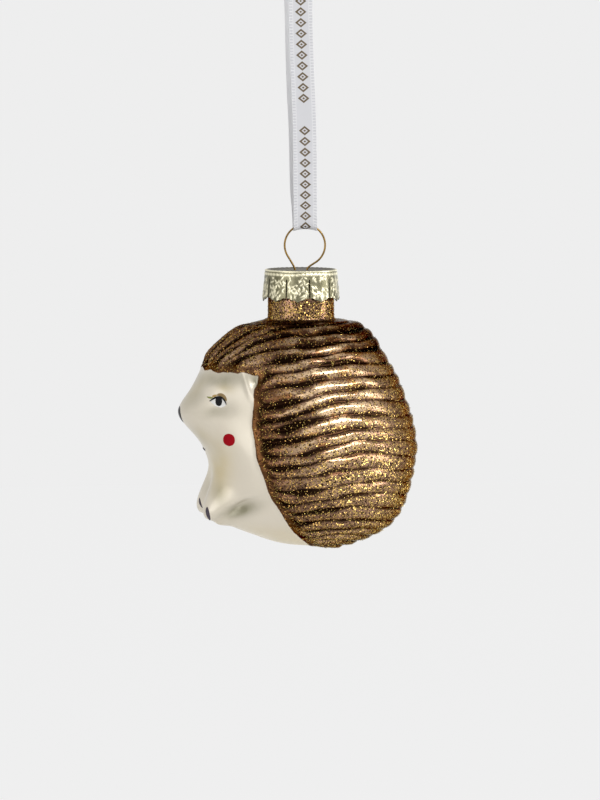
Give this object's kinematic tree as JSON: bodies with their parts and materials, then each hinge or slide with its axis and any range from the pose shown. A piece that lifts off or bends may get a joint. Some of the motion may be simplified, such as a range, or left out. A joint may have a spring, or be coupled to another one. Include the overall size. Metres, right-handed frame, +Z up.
{
  "type": "hedgehog ornament",
  "caption": "Hanging blown-glass hedgehog ornament with a ribbed coat, a stamped crown cap over its neck, a spring-wire hanger ring and a ribbon loop to hang it by.",
  "frame": {"origin": "inside of the top of the ribbon loop, where a hook or twig carries it", "axes": "+Z up along the neck and ribbon, -X the way the hedgehog looks, Y across it"},
  "size_m": [0.0616, 0.0536, 0.1503],
  "materials": {
    "glass": "silvered inside, pearl lacquer on the face, brown lacquer and gold glitter on the coat",
    "cap": "champagne gold, stamped",
    "wire": "drawn wire",
    "ribbon": "white satin"
  },
  "bodies": {
    "ribbon": {"ribbon": "ribbon"},
    "hanger": {"wire_hanger": "wire"},
    "cap": {"crown_cap": "cap"},
    "glass": {"glass_body": "glass"}
  },
  "joints": [
    {"name": "ring_swing", "type": "hinge", "parent": "ribbon", "child": "hanger", "pos_m": [0.001, 0, -0.068], "axis": [1, 0, 0], "range_deg": [-90, 90]},
    {"name": "hanger_draw", "type": "slide", "parent": "hanger", "child": "cap", "axis": [0, 0, -1], "range_m": [0, 0.003]},
    {"name": "cap_pull", "type": "slide", "parent": "cap", "child": "glass", "axis": [0, 0, -1], "range_m": [0, 0.025]}
  ]
}
